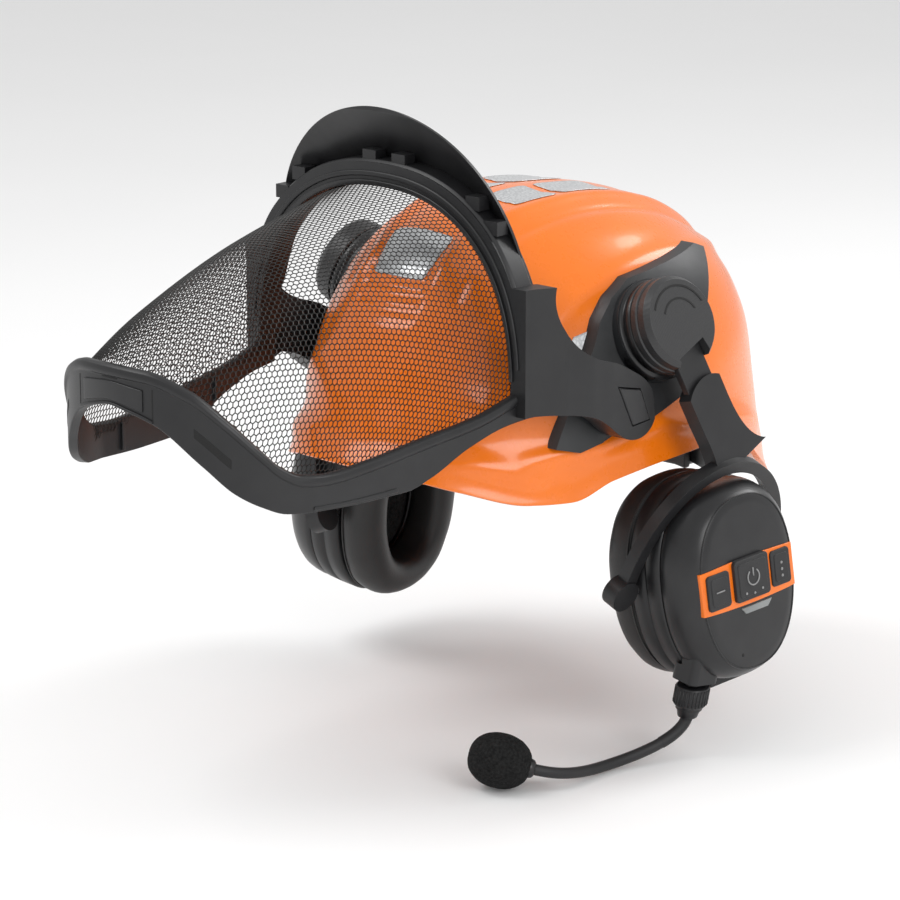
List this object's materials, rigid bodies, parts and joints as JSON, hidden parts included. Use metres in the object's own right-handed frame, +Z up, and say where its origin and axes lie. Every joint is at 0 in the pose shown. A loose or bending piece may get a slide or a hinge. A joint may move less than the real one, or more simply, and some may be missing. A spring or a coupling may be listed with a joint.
{
  "type": "forestry helmet with visor and ear cups",
  "caption": "Forestry helmet: ribbed orange shell on a cradle harness, mesh visor tilting on an arch, sprung ear cups on sliding forked arms, and a boom microphone.",
  "frame": {"origin": "middle of the head, level with the tip of the front brim", "axes": "+Z up, the wearer faces -Y, +X is the wearer's left"},
  "size_m": [0.3136, 0.4594, 0.3382],
  "materials": {
    "shell_orange": "gloss",
    "foil": "gloss",
    "plastic_black": "satin",
    "hub": "satin",
    "mesh_black": "matte",
    "window": "gloss",
    "rubber_black": "matte",
    "board": "satin",
    "cell": "satin",
    "foam": "matte",
    "pad": "matte",
    "webbing": "satin",
    "steel": "satin",
    "key": "matte",
    "cushion": "matte"
  },
  "bodies": {
    "nape_yoke": {"nape_band": "plastic_black", "ratchet_housing": "plastic_black", "nape_pad": "pad"},
    "knob": {"ratchet_knob": "plastic_black", "ratchet_pinion": "plastic_black"},
    "visor": {"visor_arch": "plastic_black", "visor_rim": "plastic_black", "visor_mesh": "mesh_black", "visor_peak": "plastic_black", "peak_clips": "plastic_black"},
    "visor_button_left": {"visor_button_left": "plastic_black"},
    "visor_button_right": {"visor_button_right": "plastic_black"},
    "power_key": {"power_key": "key"},
    "front_key": {"front_key": "key"},
    "rear_key": {"rear_key": "key"},
    "boom": {"boom_nut": "plastic_black", "gooseneck": "rubber_black", "mic_collar": "rubber_black", "mic_foam": "foam"},
    "hub_left": {"hub_ring_left": "hub", "hub_cap_left": "hub", "swing_pin_left": "steel"},
    "arm_left": {"arm_tongue_left": "plastic_black"},
    "fork_left": {"ear_fork_left": "plastic_black"},
    "cup_left": {"fork_pins_left": "steel", "cup_housing_left": "plastic_black", "cup_cover_left": "plastic_black", "ear_cushion_left": "cushion", "ear_liner_left": "foam", "speaker_left": "plastic_black", "accent_strip": "shell_orange", "light_window": "window", "port_cover": "rubber_black", "boom_mount": "plastic_black", "circuit_board": "board"},
    "hub_right": {"hub_ring_right": "hub", "hub_cap_right": "hub", "swing_pin_right": "steel"},
    "arm_right": {"arm_tongue_right": "plastic_black"},
    "fork_right": {"ear_fork_right": "plastic_black"},
    "cup_right": {"fork_pins_right": "steel", "cup_housing_right": "plastic_black", "cup_cover_right": "plastic_black", "ear_cushion_right": "cushion", "ear_liner_right": "foam", "speaker_right": "plastic_black", "battery": "cell"},
    "root": {"cradle_straps": "webbing", "crown_reflectors": "foil", "front_reflector": "foil", "harness_hangers": "plastic_black", "headband": "plastic_black", "hub_base_left": "plastic_black", "hub_base_right": "plastic_black", "shell": "shell_orange", "side_plate_left": "plastic_black", "side_plate_right": "plastic_black", "side_reflectors": "foil", "sweatband": "pad"}
  },
  "joints": [
    {"name": "nape_adjust", "type": "slide", "parent": "root", "child": "nape_yoke", "axis": [0, -1, 0], "range_m": [-0.003, 0.006]},
    {"name": "ratchet_turn", "type": "hinge", "parent": "nape_yoke", "child": "knob", "pos_m": [0, 0.112, -0.037], "axis": [0, 1, 0], "range_deg": [-90, 180]},
    {"name": "visor_tilt", "type": "hinge", "parent": "root", "child": "visor", "pos_m": [0, -0.066, 0.03], "axis": [1, 0, 0], "range_deg": [-22, 40]},
    {"name": "visor_press_left", "type": "slide", "parent": "visor", "child": "visor_button_left", "axis": [-1, 0, 0], "range_m": [0, 0.0015], "stiffness_N_per_m": 400},
    {"name": "visor_press_right", "type": "slide", "parent": "visor", "child": "visor_button_right", "axis": [1, 0, 0], "range_m": [0, 0.0015], "stiffness_N_per_m": 400},
    {"name": "swivel_left", "type": "hinge", "parent": "root", "child": "hub_left", "pos_m": [0.101, -0.0355, 0.0625], "axis": [0.9221, -0.0969, 0.3746], "range_deg": [-5, 5]},
    {"name": "swing_left", "type": "hinge", "parent": "hub_left", "child": "arm_left", "pos_m": [0.11838, -0.03733, 0.05662], "axis": [0.0506, -0.9296, -0.365], "range_deg": [0, 28]},
    {"name": "extend_left", "type": "slide", "parent": "arm_left", "child": "fork_left", "axis": [0.1908, 0.3677, -0.9101], "range_m": [0, 0.018]},
    {"name": "cup_tilt_left", "type": "hinge", "parent": "fork_left", "child": "cup_left", "pos_m": [0.112, -0.015, -0.07], "axis": [-0.1045, -0.9945, 0], "range_deg": [-12, 5]},
    {"name": "swivel_right", "type": "hinge", "parent": "root", "child": "hub_right", "pos_m": [-0.101, -0.0355, 0.0625], "axis": [0.9221, 0.0969, -0.3746], "range_deg": [-5, 5]},
    {"name": "swing_right", "type": "hinge", "parent": "hub_right", "child": "arm_right", "pos_m": [-0.11838, -0.03733, 0.05662], "axis": [0.0506, 0.9296, 0.365], "range_deg": [0, 28]},
    {"name": "extend_right", "type": "slide", "parent": "arm_right", "child": "fork_right", "axis": [-0.1908, 0.3677, -0.9101], "range_m": [0, 0.018]},
    {"name": "cup_tilt_right", "type": "hinge", "parent": "fork_right", "child": "cup_right", "pos_m": [-0.112, -0.015, -0.07], "axis": [-0.1045, 0.9945, 0], "range_deg": [-12, 5]},
    {"name": "power_key_press", "type": "slide", "parent": "cup_left", "child": "power_key", "axis": [-0.9891, 0.104, -0.1045], "range_m": [0, 0.0012], "stiffness_N_per_m": 400},
    {"name": "front_key_press", "type": "slide", "parent": "cup_left", "child": "front_key", "axis": [-0.9891, 0.104, -0.1045], "range_m": [0, 0.0012], "stiffness_N_per_m": 400},
    {"name": "rear_key_press", "type": "slide", "parent": "cup_left", "child": "rear_key", "axis": [-0.9891, 0.104, -0.1045], "range_m": [0, 0.0012], "stiffness_N_per_m": 400},
    {"name": "boom_swivel", "type": "hinge", "parent": "cup_left", "child": "boom", "pos_m": [0.133, -0.039, -0.1125], "axis": [-0.1183, -0.1183, -0.9859], "range_deg": [-60, 12]}
  ],
  "couplings": [
    {"joint": "ratchet_turn", "follows": "nape_adjust", "rad_per_m": 520}
  ]
}
